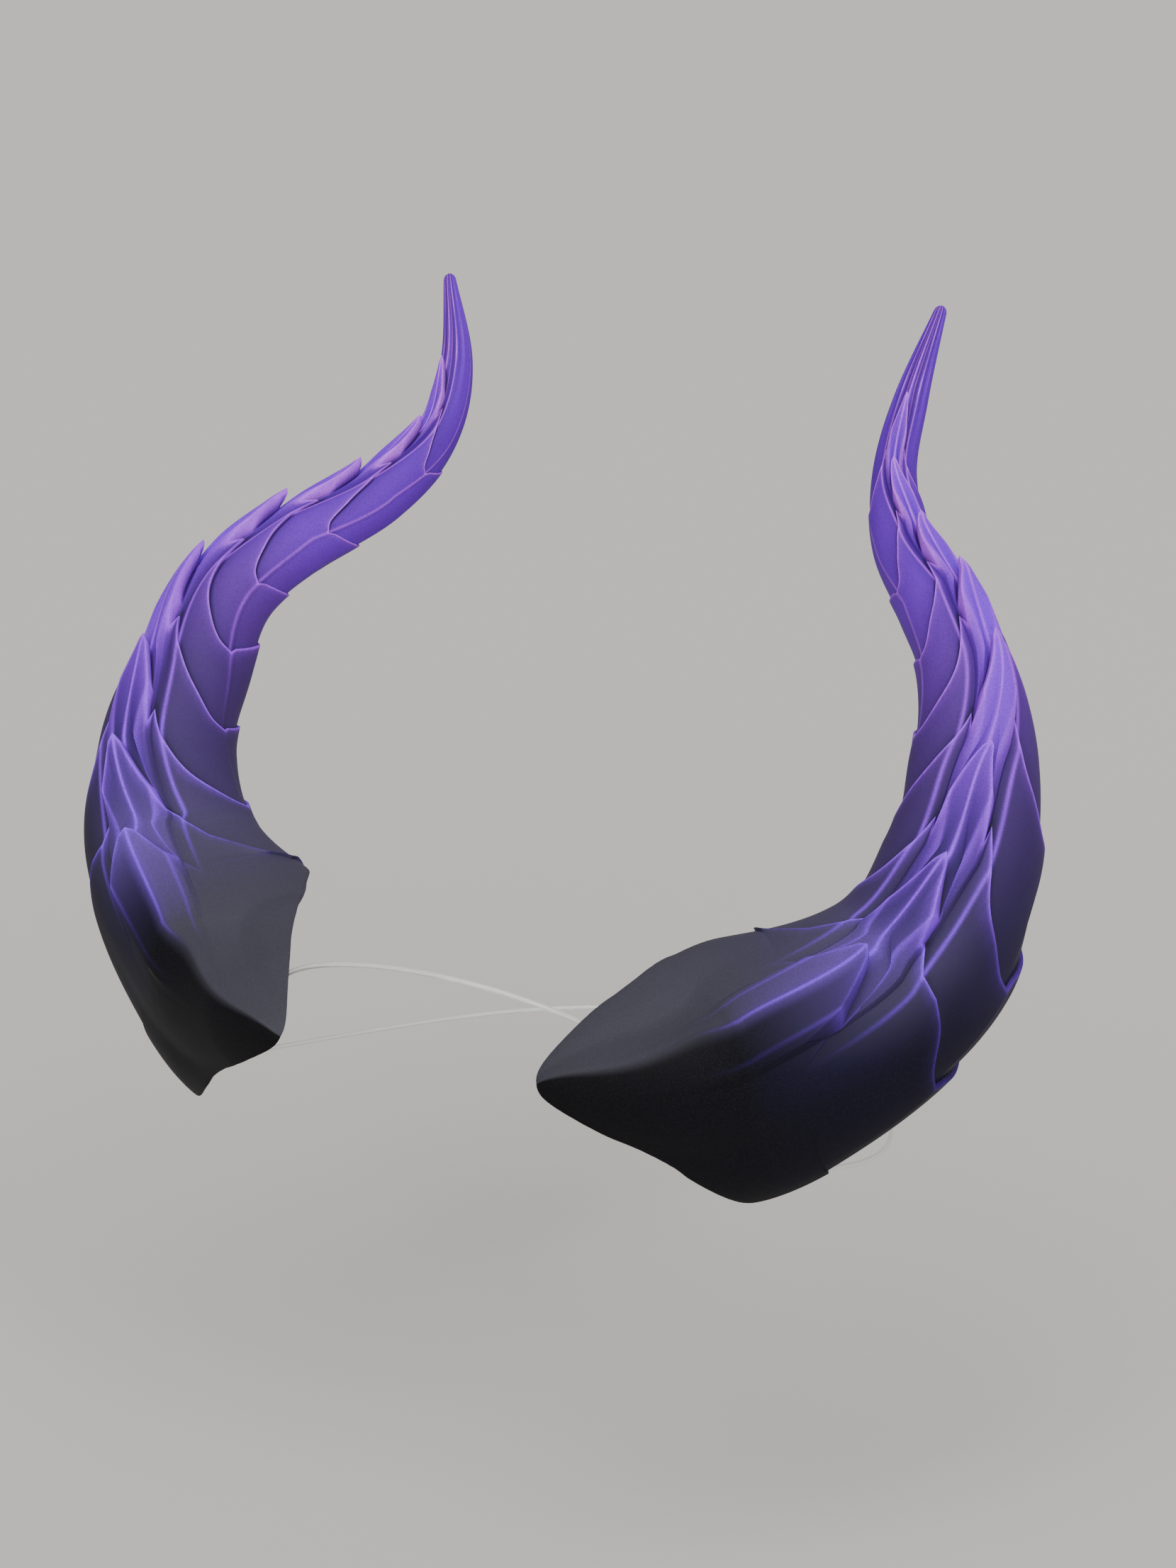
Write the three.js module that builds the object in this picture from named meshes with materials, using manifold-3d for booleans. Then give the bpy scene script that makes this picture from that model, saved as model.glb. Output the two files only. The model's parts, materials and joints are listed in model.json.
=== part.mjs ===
// A pair of scaled dragon horns on a clear elastic, worn as a headband.
// Millimetres, +Z up. The wearer looks along -Y and has the left side at +X.
// The origin lies midway between the two horns' seats.
import * as THREE from "three";
import { mergeVertices } from "three/addons/utils/BufferGeometryUtils.js";
import Module from "manifold-3d";

const wasm = await Module();
wasm.setup();

// Driving dimensions

// The seats and the elastic follow one egg-shaped hollow, the size of an adult's head.
const HOLLOW = {
  halfWidth: 81.5,
  halfDepth: 102.5,
  halfHeight: 104.5,
  centre: new THREE.Vector3(0, 48, -54.5),
  turns: 64,
  bands: 40,
};

// Sections of the horn on the wearer's left, from the prow at the brow to the point.
// x, y, z: the axis. turn: where the keel lies, in degrees round the axis from straight ahead.
// half: half the section's width.
const SECTIONS = [
  { x: 31, y: -27, z: 4, turn: -50, half: 8 },
  { x: 59, y: 5, z: -1, turn: -35, half: 26 },
  { x: 93, y: 31, z: 16, turn: -24, half: 22 },
  { x: 103, y: 43.5, z: 41, turn: 4, half: 17 },
  { x: 101.5, y: 57, z: 61, turn: 31, half: 13.8 },
  { x: 95.5, y: 69, z: 78.5, turn: 61, half: 10.8 },
  { x: 84, y: 83, z: 89, turn: 80, half: 8.8 },
  { x: 70, y: 100, z: 98.5, turn: 65, half: 7.2 },
  { x: 62, y: 116, z: 112, turn: 21, half: 5.4 },
  { x: 62, y: 127.5, z: 129, turn: 5, half: 4.2 },
  { x: 67, y: 134, z: 151, turn: -4, half: 1.9 },
];
const NOSE = 0.16; // share of the first span that rounds off the prow
const POINT = 0.07; // share of the last span that rounds off the point

// Rings of scales. tip: the section where the keel scale ends. lift: how far its tip stands off.
// lag: how far the ring's sides stay behind the tip, against the lines' own lag.
// sweep: how far behind the tip the ring's edge reaches the belly, in spans between sections.
const RINGS = [
  { tip: 1.96, lift: 7.3, lag: 0.63, sweep: 0.65 },
  { tip: 3, lift: 5.2, lag: 1.05, sweep: 1.25 },
  { tip: 4, lift: 4.2, lag: 1, sweep: 1.7 },
  { tip: 5, lift: 4.4, lag: 1, sweep: 1.75 },
  { tip: 6, lift: 3.9, lag: 1, sweep: 1.75 },
  { tip: 7, lift: 4.1, lag: 1, sweep: 1.7 },
  { tip: 8, lift: 3.3, lag: 1, sweep: 1.6 },
  { tip: 9, lift: 3, lag: 1, sweep: 1.5 },
];
const RISE = 1.5; // power of the curve in which a scale rises to its edge
const ROWS = [0, 0.3, 0.58, 0.82, 1]; // rows of points along a scale, as shares of its length
const FIRST_ROWS = [0.004, 0.03, 0.08, 0.16, 0.28, 0.42, 0.58, 0.74, 0.88, 1]; // on the long first scales
const LAST_ROWS = [0, 0.25, 0.5, 0.75, 0.93, 0.98, 1]; // on the fluted point

// Lines that run the length of the horn, from the keel round to the belly, alike on both sides.
// reach: distance from the axis, in half widths. root: the same at the seat, which has corners.
// lag and sweep: how far the ring's edge lies behind the tip, in spans and in the ring's own sweeps.
// step: height of the edge, in lifts. tuck: how far the next ring starts under the edge, in spans.
const LINES = [
  { angle: 0, reach: 1.06, root: 1.06, lag: 0, sweep: 0, step: 1, tuck: 0.2 }, // keel
  { angle: 13, reach: 1, root: 1, lag: 0.52, sweep: 0, step: 0.55, tuck: 0.05 }, // keel scale's shoulder
  { angle: 24, reach: 0.9, root: 0.92, lag: 0.94, sweep: 0, step: 0.3, tuck: 0.03 }, // groove
  { angle: 37, reach: 0.93, root: 0.9, lag: 0.98, sweep: 0, step: 0.42, tuck: 0.03 }, // flank ridge
  { angle: 60, reach: 0.98, root: 0.83, lag: 0.78, sweep: 0.25, step: 0.4, tuck: 0.03 },
  { angle: 80, reach: 0.99, root: 0.92, lag: 0.48, sweep: 0.55, step: 0.4, tuck: 0.03 }, // cheek
  { angle: 99, reach: 1, root: 1.09, lag: 0.25, sweep: 0.77, step: 0.4, tuck: 0.03 },
  { angle: 138, reach: 1.03, root: 1.1, lag: 0, sweep: 1, step: 0.45, tuck: 0.03 }, // belly ridge
  { angle: 180, reach: 0.9, root: 0.9, lag: 0, sweep: 0.9, step: 0.35, tuck: 0.03 }, // belly
];
// Stations between which the seat's form gives way to the horn's own. twist: how far the seat's sides
// are turned outward from the keel, in degrees, from the flank angle on.
const ROOT = { from: 1, to: 2.3, twist: 11, flank: 60 };

// The clear elastic, and its two stretches as seen from the hollow's centre.
const ELASTIC = { diameter: 1.5, sides: 8, gap: 0.3 }; // gap: clearance at the horns and off the head
const FRONT = { ahead: 69, up: 77, halfSpan: 58, steps: 24 };
const BACK = { rise: 16.7, halfTurn: 112, steps: 80 }; // rise: from the nape to beside the ears

const HORN_FINISH = { color: 0x3a2a72, roughness: 0.55, metalness: 0 };
const ELASTIC_FINISH = { color: 0xf2f2f0, roughness: 0.15, metalness: 0 };

// Solids

// A closed indexed geometry as a solid that can be joined and cut.
function solidOf(positions, indices) {
  const mesh = new wasm.Mesh({
    numProp: 3,
    vertProperties: new Float32Array(positions),
    triVerts: new Uint32Array(indices),
  });
  return new wasm.Manifold(mesh);
}

function geometryOf(solid) {
  const mesh = solid.getMesh();
  const geometry = new THREE.BufferGeometry();
  geometry.setAttribute("position", new THREE.BufferAttribute(mesh.vertProperties, 3));
  geometry.setIndex(new THREE.BufferAttribute(mesh.triVerts, 1));
  geometry.computeVertexNormals();
  return geometry;
}

// Rows of points, each a ring of the same number, closed at both ends by a point of its own.
function skin(rows, startPoint, endPoint) {
  const around = rows[0].length;
  const positions = [];
  const indices = [];
  for (const row of rows) {
    for (const point of row) positions.push(point.x, point.y, point.z);
  }
  const start = rows.length * around;
  positions.push(startPoint.x, startPoint.y, startPoint.z);
  positions.push(endPoint.x, endPoint.y, endPoint.z);
  const lastRow = (rows.length - 1) * around;
  for (let j = 0; j < around; j += 1) {
    const next = (j + 1) % around;
    for (let i = 0; i + 1 < rows.length; i += 1) {
      const low = i * around;
      const high = low + around;
      indices.push(low + j, low + next, high + next);
      indices.push(low + j, high + next, high + j);
    }
    indices.push(start, next, j);
    indices.push(start + 1, lastRow + j, lastRow + next);
  }
  return solidOf(positions, indices);
}

// The horn

const axis = new THREE.CatmullRomCurve3(
  SECTIONS.map((s) => new THREE.Vector3(s.x, s.y, s.z)),
  false,
  "catmullrom",
);
const sizes = new THREE.CatmullRomCurve3(
  SECTIONS.map((s) => new THREE.Vector3(s.turn, s.half, 0)),
  false,
  "catmullrom",
);
const SPANS = SECTIONS.length - 1;
const AHEAD = new THREE.Vector3(0, -1, 0);

// Place, directions and half width of the section at a station, counted in spans from the prow.
function sectionAt(station) {
  const share = THREE.MathUtils.clamp(station / SPANS, 0, 1);
  const centre = axis.getPoint(share);
  const along = axis.getTangent(share);
  const ahead = AHEAD.clone().addScaledVector(along, -AHEAD.dot(along)).normalize();
  const across = new THREE.Vector3().crossVectors(along, ahead);
  const size = sizes.getPoint(share);
  const turn = THREE.MathUtils.degToRad(size.x);
  const keel = ahead.multiplyScalar(Math.cos(turn)).addScaledVector(across, Math.sin(turn));
  const side = new THREE.Vector3().crossVectors(along, keel);
  const nose = Math.min(1, station / NOSE);
  const point = Math.min(1, (SPANS - station) / POINT);
  const round = Math.sqrt(nose * (2 - nose)) * Math.sqrt(point * (2 - point));
  return { centre, keel, side, half: size.y * round };
}

// Where a ring's edge crosses a line, as a station.
function edgeAt(ring, line) {
  return ring.tip - line.lag * ring.lag - line.sweep * ring.sweep;
}

function pointOn(station, line, angle, height) {
  const section = sectionAt(station);
  const grown = THREE.MathUtils.smoothstep(station, ROOT.from, ROOT.to);
  const reach = section.half * THREE.MathUtils.lerp(line.root, line.reach, grown) + height;
  const twist = ROOT.twist * (1 - grown) * Math.min(1, Math.abs(angle) / ROOT.flank);
  const radians = THREE.MathUtils.degToRad(angle + twist);
  return section.centre
    .addScaledVector(section.keel, Math.cos(radians) * reach)
    .addScaledVector(section.side, Math.sin(radians) * reach);
}

// Both sides' lines in order round the section, from the keel by way of the belly.
const AROUND = [
  ...LINES.map((line) => ({ line, angle: line.angle })),
  ...LINES.slice(1, -1)
    .reverse()
    .map((line) => ({ line, angle: -line.angle })),
];

function hornSolid() {
  const rows = [];
  for (let n = 0; n <= RINGS.length; n += 1) {
    const under = RINGS[n - 1];
    const ring = RINGS[n];
    const shares = !under ? FIRST_ROWS : ring ? ROWS : LAST_ROWS;
    for (const share of shares) {
      const row = AROUND.map(({ line, angle }) => {
        const from = under ? edgeAt(under, line) - line.tuck : 0;
        const to = ring ? edgeAt(ring, line) : SPANS;
        const height = ring ? ring.lift * line.step * share ** RISE : 0;
        return pointOn(from + (to - from) * share, line, angle, height);
      });
      rows.push(row);
    }
  }
  return skin(rows, sectionAt(0).centre, sectionAt(SPANS).centre);
}

function hollowSolid() {
  const ball = new THREE.SphereGeometry(1, HOLLOW.turns, HOLLOW.bands);
  ball.rotateX(Math.PI / 2);
  ball.scale(HOLLOW.halfWidth, HOLLOW.halfDepth, HOLLOW.halfHeight);
  ball.translate(HOLLOW.centre.x, HOLLOW.centre.y, HOLLOW.centre.z);
  const around = HOLLOW.turns + 1;
  const place = ball.getAttribute("position");
  const rows = [];
  for (let i = 1; i < HOLLOW.bands; i += 1) {
    const row = [];
    for (let j = 0; j < HOLLOW.turns; j += 1) {
      row.push(new THREE.Vector3().fromBufferAttribute(place, i * around + j));
    }
    rows.push(row);
  }
  const first = new THREE.Vector3().fromBufferAttribute(place, 0);
  const last = new THREE.Vector3().fromBufferAttribute(place, HOLLOW.bands * around);
  return skin(rows.reverse(), last, first);
}

// The elastic

const CORD = ELASTIC.diameter / 2;
const HEAD = new THREE.Vector3(HOLLOW.halfWidth, HOLLOW.halfDepth, HOLLOW.halfHeight);
const CORD_HEAD = HEAD.clone().addScalar(CORD + ELASTIC.gap); // what the cord's middle lies on

// The cord's middle where it lies on the hollow, seen from the hollow's centre along a direction.
function onHollow(direction) {
  const distance = 1 / direction.clone().divide(CORD_HEAD).length();
  return direction.multiplyScalar(distance).add(HOLLOW.centre);
}

function cordSolid(directions) {
  const path = new THREE.CatmullRomCurve3(directions.map(onHollow));
  const round = new THREE.Shape().absarc(0, 0, CORD, 0, 2 * Math.PI);
  const geometry = new THREE.ExtrudeGeometry(round, {
    extrudePath: path,
    steps: directions.length - 1,
    curveSegments: ELASTIC.sides / 2, // a whole turn gets twice as many
  });
  geometry.deleteAttribute("normal");
  geometry.deleteAttribute("uv");
  const closed = mergeVertices(geometry, CORD / 1000);
  return solidOf(closed.getAttribute("position").array, closed.index.array);
}

// Directions evenly spaced by their share of the way, from the wearer's right to the left.
function directionsOf(steps, at) {
  return Array.from({ length: steps + 1 }, (_, i) => at((2 * i) / steps - 1));
}

const frontDirections = directionsOf(FRONT.steps, (share) => {
  return new THREE.Vector3(FRONT.halfSpan * share, -FRONT.ahead, FRONT.up);
});
const backDirections = directionsOf(BACK.steps, (share) => {
  const turn = THREE.MathUtils.degToRad(BACK.halfTurn * share);
  const up = BACK.rise * (1 - Math.cos(turn)) ** 2;
  return new THREE.Vector3(HEAD.x * Math.sin(turn), HEAD.y * Math.cos(turn), up);
});

const horn = hornSolid();
const hollow = hollowSolid();
const seated = horn.subtract(hollow);

// The part of a cord that lies free of both horns, with a little clearance in a direction away from them.
function freeOfHorns(cord, away) {
  const moved = seated.translate([away.x, away.y, away.z]);
  const taken = seated.add(moved);
  return cord.subtract(taken).subtract(taken.mirror([1, 0, 0]));
}

const frontAway = new THREE.Vector3(-1, -1, 0).setLength(ELASTIC.gap);
const backAway = new THREE.Vector3(0, 1, -1).setLength(ELASTIC.gap);

// The assembly

const headband = new THREE.Group();

function addPiece(name, solid, finish) {
  const mesh = new THREE.Mesh(geometryOf(solid), new THREE.MeshStandardMaterial(finish));
  mesh.name = name;
  headband.add(mesh);
  return mesh;
}

addPiece("horn_left", seated, HORN_FINISH);
addPiece("horn_right", seated, HORN_FINISH).scale.x = -1;
addPiece("elastic_front", freeOfHorns(cordSolid(frontDirections), frontAway), ELASTIC_FINISH);
addPiece("elastic_back", freeOfHorns(cordSolid(backDirections), backAway), ELASTIC_FINISH);

export default headband;
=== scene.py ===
import json
import math
from collections import namedtuple

import bpy
import numpy as np
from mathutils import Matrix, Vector

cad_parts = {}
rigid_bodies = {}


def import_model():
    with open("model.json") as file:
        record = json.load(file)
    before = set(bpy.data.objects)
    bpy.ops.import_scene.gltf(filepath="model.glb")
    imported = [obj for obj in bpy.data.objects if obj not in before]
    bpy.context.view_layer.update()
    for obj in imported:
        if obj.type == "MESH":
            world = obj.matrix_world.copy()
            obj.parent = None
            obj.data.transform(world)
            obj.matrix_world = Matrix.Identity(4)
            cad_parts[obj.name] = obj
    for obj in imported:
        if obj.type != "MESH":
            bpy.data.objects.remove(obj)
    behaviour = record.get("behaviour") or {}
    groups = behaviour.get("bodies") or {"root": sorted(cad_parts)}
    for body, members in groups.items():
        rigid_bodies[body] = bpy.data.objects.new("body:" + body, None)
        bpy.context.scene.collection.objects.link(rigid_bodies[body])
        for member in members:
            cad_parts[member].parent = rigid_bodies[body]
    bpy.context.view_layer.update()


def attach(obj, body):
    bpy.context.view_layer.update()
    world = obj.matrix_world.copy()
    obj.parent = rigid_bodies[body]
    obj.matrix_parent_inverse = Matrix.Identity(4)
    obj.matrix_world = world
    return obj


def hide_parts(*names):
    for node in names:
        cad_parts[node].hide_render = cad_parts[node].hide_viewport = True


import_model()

# A pair of painted dragon horns on a clear elastic. Metres, +Z up; the wearer looks along -Y
# and has the left side at +X. Tables are in millimetres and degrees.

MM = 0.001

# Sections of the horn on the wearer's left, from the prow at the brow to the point: the axis, where
# the keel lies round it from straight ahead, and half the section's width. A place along the horn
# is a station, counted in sections from the prow. Angles round the horn start at the keel and are
# positive on the side that faces away from the other horn.
Section = namedtuple("Section", "x y z turn half")
SECTIONS = [
    Section(31, -27, 4, -50, 8.5),
    Section(59, 5, -1, -37, 26),
    Section(93, 31, 16, -26.5, 22),
    Section(103, 43.5, 41, 2, 17),
    Section(101.5, 57, 61, 31, 13.8),
    Section(95.5, 69, 78.5, 61, 10.8),
    Section(84, 83, 89, 80, 8.8),
    Section(70, 100, 98.5, 65, 7.2),
    Section(62, 116, 112, 21, 5.4),
    Section(62, 127.5, 129, 5, 4.2),
    Section(67, 134, 151, -4, 1.4),
]
SPANS = len(SECTIONS) - 1
NOSE = 0.4  # share of the first span that rounds off the prow
POINT = 0.07  # share of the last span that rounds off the point
AXIS_STEPS = 80  # samples of the axis in each span

# Rings of scales. tip: the station where the keel scale ends. lift: how far its tip stands off.
# plate: how far the edges of the ring's other scales stand off. side, flank and belly: how far the
# edge lies behind the tip there, in spans. skew: how much further it does on the outer side. foot:
# how far the wall's foot lies beside the edge, against the lines' foot. tuck: how far the wall leans
# back under the edge, against the lines' tuck. lean: how much higher the keel scale's outer side
# stands than its middle, and how much lower its other side, in lifts. rows: rows of faces.
Ring = namedtuple("Ring", "tip lift plate side flank belly skew foot tuck lean rows")
RINGS = [
    Ring(1.96, 5.4, 0, 0.54, 0.56, 0.55, 0.1, 3.2, 1, 0.45, 96),
    Ring(3, 4.8, 1, 0.64, 0.94, 1.36, -0.18, 2, 1.2, 0.3, 44),
    Ring(4.02, 3.5, 1, 0.88, 1, 1.7, 0, 2, 2.2, 0.1, 40),
    Ring(5.1, 4.1, 1, 0.9, 1, 1.85, 0, 2.4, 2.6, 0, 38),
    Ring(6.12, 4.7, 0.9, 0.9, 1, 1.95, 0, 2.8, 2.6, 0, 34),
    Ring(7.04, 4.2, 0.8, 0.9, 1, 1.95, 0, 3, 2.4, 0, 34),
    Ring(8, 3.6, 0.7, 0.9, 1, 1.85, 0, 3, 2, 0, 32),
    Ring(9, 2.8, 0.5, 0.9, 1, 1.6, 0, 3, 2, 0, 32),
]
POINT_ROWS = 48
WALL_ROWS = 3  # rows of points down the wall in front of a scale
FIRST_RISE = 3.5  # power of the curve in which the scales at the seat rise to their edges
FIRST_CROWDING = 1.25  # power that crowds the first ring's rows to the prow
POINT_CROWDING = 1.5  # power that crowds the last rows to the point

# Lines that run the length of the horn, from the keel round to the belly, alike on both sides.
# reach: distance from the axis in half widths. root: the same at the seat, which has corners.
# side, flank and belly: how far a ring's edge lies behind its tip, in the ring's own measures.
# step and plate: height of the edge, in lifts and in plates. tuck: how far the wall leans back under
# the edge, in spans. foot: how far the wall's foot lies beside the edge, in degrees. pinch: how far
# the line bends to the keel beside the tip before, in degrees. soft: whether the surface rolls over
# the line. columns: faces between it and the next line.
Line = namedtuple("Line", "angle reach root side flank belly step plate tuck foot pinch soft columns")
FOLD, GROOVE, FLANK_RIDGE, CHEEK = 15.5, 23, 31.5, 92
LINES = [
    Line(0, 1.04, 1.07, 0, 0, 0, 1, 0, 0.1, 0, 0, False, 2),  # keel
    Line(4, 1.028, 1.04, 0.08, 0, 0, 0.97, 0, 0.085, 1, 1.5, False, 7),  # corner of the blunt tip
    Line(FOLD, 0.995, 0.955, 0.6, 0, 0, 0.76, 0, 0.03, 2.5, 7, False, 4),
    Line(19.5, 0.974, 0.93, 1, 0, 0, 0.42, 0, 0, 1, 0, False, 3),  # side of the keel scale
    Line(GROOVE, 0.945, 0.91, 0, 0.74, 0, 0.06, 0.6, 0, 0.3, 0, False, 6),
    Line(FLANK_RIDGE, 0.97, 0.865, 0, 1, 0, 0, 1, 0, 0, 0, False, 7),
    Line(45, 0.985, 0.825, 0, 0.66, 0.34, 0, 1, 0, 0, 0, True, 6),
    Line(60, 0.995, 0.835, 0, 0.4, 0.6, 0, 1, 0, 0, 0, True, 6),
    Line(76, 1.005, 0.955, 0, 0.15, 0.85, 0, 0.9, 0, 0, 0, True, 14),
    Line(CHEEK, 1.01, 1.11, 0, 0.01, 0.97, 0, 0.9, 0, 0, 0, False, 6),
    Line(99, 0.99, 1.18, 0, 0, 0.94, 0, 0.9, 0, 0, 0, False, 24),
    Line(138, 1.02, 1.22, 0, 0, 0.84, 0, 0.9, 0, 0, 0, False, 8),  # belly ridge
    Line(180, 0.9, 0.9, 0, 0, 0.8, 0, 0.9, 0, 0, 0, True, 0),  # belly
]
PINCHED_AT = 0.45  # share of a scale behind the place where its lines bend to the keel
SKEW_FROM, SKEW_TO = 15, 45  # angles between which a ring's skew sets in
LEAN_FROM = 15  # angle from which a keel scale leans in full
JUT, JUT_FROM, JUT_TO = 0.13, 60, 95  # how far the edges stand off low on the outer side, in lifts
INNER_FOOT = 0.65  # how wide the walls are on the side that faces the other horn
# Stations between which the seat's form gives way to the horn's own, and how far the seat's sides
# are turned outward from the keel, from the flank angle on.
ROOT_FROM, ROOT_TO = 0.7, 2.3
ROOT_TWIST, ROOT_FLANK = 14, 60
ROOT_PLAIN = 90  # up to this angle the seat's form rolls over the lines
# How far the keel swings to the other horn between the prow and the first scale, and the stations
# where it starts to, swings most and is back.
SWAY, SWAY_FROM, SWAY_MOST, SWAY_TO = 13, 0.15, 0.65, 1.1
# Flutes along the point's front: how many to a turn, how deep in half widths, the stations between
# which they set in, and the angles between which they fade out.
FLUTES, FLUTE_DEPTH, FLUTED_FROM, FLUTED_TO = 12, 0.035, 8, 9.2
FLUTED_WITHIN, PLAIN_BEYOND = 50, 85
CREASE = 12  # faces that meet at a greater angle have a crisp edge
WELD = 1e-6  # points closer than this become one

# The seats and the elastic follow one egg-shaped hollow.
HOLLOW_CENTRE = Vector((0, 48, -54.5)) * MM
HOLLOW_HALF = Vector((81.5, 102.5, 104.5)) * MM
SEAT_RIM = 0.7 * MM  # width of the rounding along the seat's rim
RIM_REACH = 3  # how far from the rim the surface is evened out, in rim widths
RIM_PASSES = 4  # how often it is
SEAT_CORE = 0.55  # how far from the axis towards the keel a section is hung, in half widths
PAST_SKIN = 2  # where a ray that misses the hollow would stop, when the skin lies at 1

# The clear elastic. Its front stretch is aimed ahead of, above and to both sides of the hollow's
# centre and dips under the seats' rims at its ends. Its back stretch runs round the hollow from the
# back to both sides, and has risen by so much at a quarter turn.
ELASTIC_DIAMETER = 1.2 * MM
ELASTIC_SIDES = 16
ELASTIC_LIFT = 0.3 * MM  # off the hollow
ELASTIC_DIP, DIP_POWER = 3.2 * MM, 4
FRONT_AHEAD, FRONT_UP, FRONT_HALF_SPAN, FRONT_STEPS = 69, 77, 49, 48
BACK_RISE, BACK_HALF_TURN, BACK_STEPS = 16.7, 108.2, 96

# Colours of the paint along the horn: share of its length, and the colour from 0 to 255.
KEEL_GROUND = [
    (0.0, (58, 57, 65)),
    (0.1, (58, 56, 68)),
    (0.18, (90, 68, 138)),
    (0.3, (50, 33, 92)),
    (0.42, (118, 49, 208)),
    (0.52, (124, 41, 233)),
    (0.64, (114, 34, 222)),
    (0.78, (112, 34, 216)),
    (0.87, (112, 36, 210)),
    (1.0, (132, 46, 238)),
]
PLATE_GROUND = [
    (0.0, (58, 57, 65)),
    (0.12, (63, 61, 73)),
    (0.2, (68, 60, 91)),
    (0.3, (62, 46, 94)),
    (0.4, (70, 44, 110)),
    (0.5, (92, 46, 150)),
    (0.6, (102, 40, 182)),
    (0.8, (92, 30, 172)),
    (1.0, (108, 37, 204)),
]
LILAC = [
    (0.0, (80, 48, 160)),
    (0.2, (134, 70, 252)),
    (0.45, (170, 78, 255)),
    (0.7, (196, 96, 255)),
    (1.0, (200, 100, 255)),
]
# Slate: painted shade in the recesses, and also the colour of the grain's specks.
SLATE = [(0.0, (32, 32, 36)), (0.2, (40, 35, 58)), (0.5, (42, 25, 76)), (1.0, (50, 20, 96))]
# Near-black for the outer and lower sides: partly the black paint near the seat, partly painted shade,
# darker than that paint.
BLACK_AND_SHADE = [(0.0, (8, 8, 11)), (0.1, (9, 9, 14)), (0.17, (26, 21, 54)), (0.3, (24, 19, 48))]
BACKDROP = (190, 187, 182)

# Angles between which a part of the paint sets in.
PLATE_ANGLES = (14, 26)
OUTER_ANGLES = (-4, 6)
PAST_KEEL_ANGLES = (3, 11)
LOWER_ANGLES = (20, 65)
ABOVE_BELLY_ANGLES = (110, 80)

# How far along the horn a part of the paint goes: the most there is of it, and the stations where
# there is none and where there is the most.
Stretch = namedtuple("Stretch", "most none full")
# Painted shade on the outer and lower sides, which face away from the light; near the seat it lies over
# black paint.
OUTER_BLACK_AND_SHADE = Stretch(0.88, 2.4, 1.1)
OUTER_PAINTED_SHADE = Stretch(0.12, 4.2, 3.2)
LOWER_PAINTED_SHADE = Stretch(0.5, 4.1, 2.4)
LOWER_BLACK_AND_SHADE = Stretch(0.75, 3.2, 1.7)
OUTER_BARE = Stretch(1, 2.2, 1.2)
LOWER_BARE = Stretch(1, 4.2, 2.6)
BRUSHED = Stretch(1, 0.6, 1.8)
EDGED = Stretch(1, 1.3, 2.4)
CHEEK_BRUSHED = Stretch(1, 3.2, 5)
# Painted shade down the walls in front of the scales.
PAINTED_SHADE_ON_WALLS = Stretch(0.8, 2.6, 3.4)
HAZE_LOST = Stretch(0.5, 2.6, 3.4)
HAZE_LOST_ON_FLUTES = Stretch(0.7, FLUTED_FROM, FLUTED_TO)
FLUTED = Stretch(1, FLUTED_FROM, FLUTED_TO)

# Marks along an edge or a line: their width in millimetres, and how much of the paint they take.
Mark = namedtuple("Mark", "width most")
EDGE_LINE = Mark(0.42, 1)
KEEL_LINE = Mark(0.33, 1)
FOLD_LINE = Mark(0.4, 0.45)
FLANK_LINE = Mark(0.45, 0.65)
CHEEK_LINE = Mark(0.5, 0.5)
EDGE_HAZE = Mark(1.7, 0.24)
KEEL_HAZE = Mark(1.3, 0.18)
# Painted shade in the groove, just under each edge and further below it.
GROOVE_SHADE = Mark(0.9, 0.35)
UNDER_EDGE_SHADE = Mark(0.8, 0.8)
BELOW_EDGE_SHADE = Mark(3, 0.3)
MARK_RADIUS = 13 * MM  # radius of the horn at which marks that narrow with it have these widths
BROADEST = 1.15  # how many times as wide they get at most
# Painted shade darkens the walls and the valleys between the flutes.
WALL_TOP = 0.4  # share of a wall over which it darkens
FLUTE_LINE, FLUTE_SHADE, FLUTE_CREST = 0.4, 0.45, 4  # lilac, slate, and the power that narrows a crest
HAZE_LOST_BARE, LINES_LOST_BARE = 0.8, 0.75  # how much less lilac the bare side has
EVEN_LINES = 0.4  # share of a line that the bristles leave even
BRISTLES_ACROSS, BRISTLES_ALONG = 0.9, 2.6  # streaks to a millimetre across, and to a span along
PATCHY_LEAST, PATCHY_RANGE = 0.3, 1.3  # how unevenly the bristles lay the lilac
GRAIN_SCALE, GRAIN_RELIEF, GRAIN_DEPTH = 3200, 0.3, 0.2 * MM
# The most slate that the grain takes, and the grain's values where it takes none and the most.
SPECKLED, SPECK_NONE, SPECK_FULL = 0.3, 0.6, 0.3

# The view
VIEW_AIM = Vector((3.48, 64.17, 40.92)) * MM
VIEW_AZIMUTH, VIEW_ELEVATION = math.radians(23.82), math.radians(18.42)
VIEW_DISTANCE = 688.9 * MM
IMAGE_HEIGHT, FOCAL_PIXELS = 2212, 4000
SENSOR = 36  # millimetres along the image's long side
NEAREST = 10 * MM

# The studio
Lamp = namedtuple("Lamp", "name toward spread strength")
LAMPS = [
    Lamp("key", Vector((0.28, -0.7, 0.9)), 60, 3.7),
    Lamp("fill", Vector((0.9, -0.6, 0.3)), 60, 0.7),
]
ROOM_LIGHT, ROOM_STRENGTH = (1, 0.985, 0.965, 1), 0.4
FLOOR_Z, FLOOR_HALF = -0.135, 30.0


# Node trees written as sums


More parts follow.
